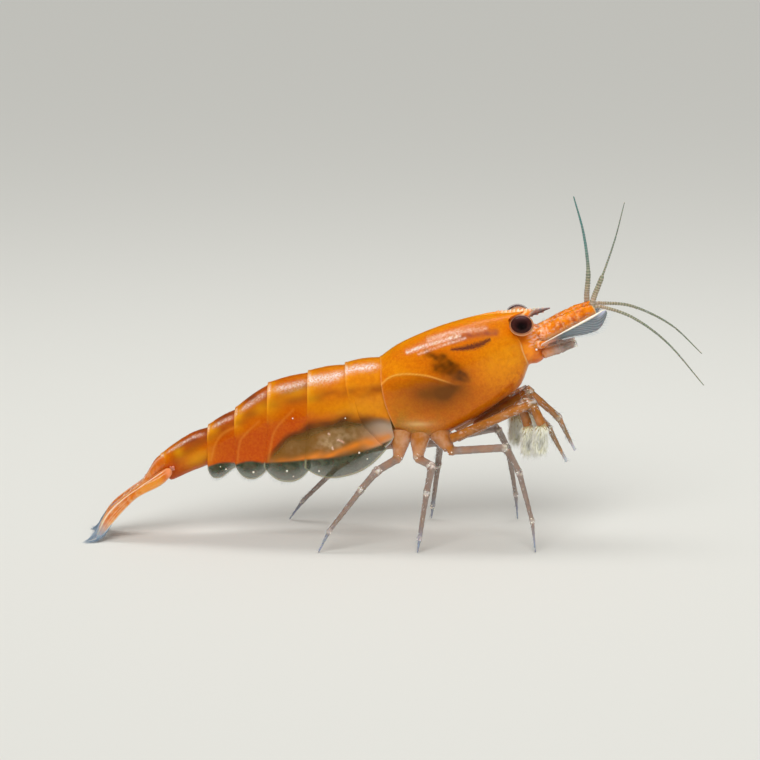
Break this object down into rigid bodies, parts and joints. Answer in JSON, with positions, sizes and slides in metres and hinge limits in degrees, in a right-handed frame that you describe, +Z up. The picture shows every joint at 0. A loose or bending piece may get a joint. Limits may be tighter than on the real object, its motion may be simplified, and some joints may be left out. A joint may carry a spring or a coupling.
{
  "type": "aquarium shrimp",
  "caption": "Still model of a small orange freshwater shrimp, head raised, standing on its walking legs and tail fan, with stalked eyes, long feelers, folded clawed limbs and side flaps.",
  "frame": {"origin": "on the floor, under the middle of the whole model's bounding box", "axes": "+X towards the head, +Y towards the shrimp's left side, +Z up"},
  "size_m": [0.031, 0.0068, 0.0173],
  "materials": {
    "carapace_shell": "thin glossy shell, orange and slightly see-through",
    "underside": "satin",
    "abdomen_shell": "thin glossy shell, orange, clear at the side flaps",
    "tail_fan": "glossy, clear and bluish at the tips",
    "clear_leaf": "glossy, clear, olive grey",
    "eye": "glossy, dark brown with a black centre",
    "feeler_stem": "glossy",
    "feeler": "satin, ringed",
    "front_limb": "glossy, half clear amber",
    "claw": "satin, whitish, with brushes of bristles",
    "walking_leg": "glossy, clear pinkish amber"
  },
  "bodies": {
    "root": {"carapace": "carapace_shell", "rostrum": "carapace_shell", "head": "carapace_shell", "thorax": "underside", "abdomen_1": "abdomen_shell", "abdomen_2": "abdomen_shell", "abdomen_3": "abdomen_shell", "abdomen_4": "abdomen_shell", "abdomen_5": "abdomen_shell", "abdomen_6": "abdomen_shell", "telson": "tail_fan", "uropod_inner_left": "tail_fan", "uropod_inner_right": "tail_fan", "uropod_outer_left": "tail_fan", "uropod_outer_right": "tail_fan", "swimmeret_1_left": "clear_leaf", "swimmeret_1_right": "clear_leaf", "swimmeret_2_left": "clear_leaf", "swimmeret_2_right": "clear_leaf", "swimmeret_3_left": "clear_leaf", "swimmeret_3_right": "clear_leaf", "swimmeret_4_left": "clear_leaf", "swimmeret_4_right": "clear_leaf", "swimmeret_5_left": "clear_leaf", "swimmeret_5_right": "clear_leaf", "antennal_scale_left": "clear_leaf", "antennal_scale_right": "clear_leaf", "eye_left": "eye", "eye_right": "eye", "eyestalk_left": "feeler_stem", "eyestalk_right": "feeler_stem", "antennule_stem_left": "feeler_stem", "antennule_stem_right": "feeler_stem", "antenna_stem_left": "feeler_stem", "antenna_stem_right": "feeler_stem", "antennule_upper_left": "feeler", "antennule_upper_right": "feeler", "antennule_lower_left": "feeler", "antennule_lower_right": "feeler", "maxilliped_left": "front_limb", "maxilliped_right": "front_limb", "cheliped_1_left": "front_limb", "cheliped_1_right": "front_limb", "cheliped_2_left": "front_limb", "cheliped_2_right": "front_limb", "claw_1_left": "claw", "claw_1_right": "claw", "claw_2_left": "claw", "claw_2_right": "claw", "leg_3_left": "walking_leg", "leg_3_right": "walking_leg", "leg_4_left": "walking_leg", "leg_4_right": "walking_leg", "leg_5_left": "walking_leg", "leg_5_right": "walking_leg"}
  },
  "joints": []
}
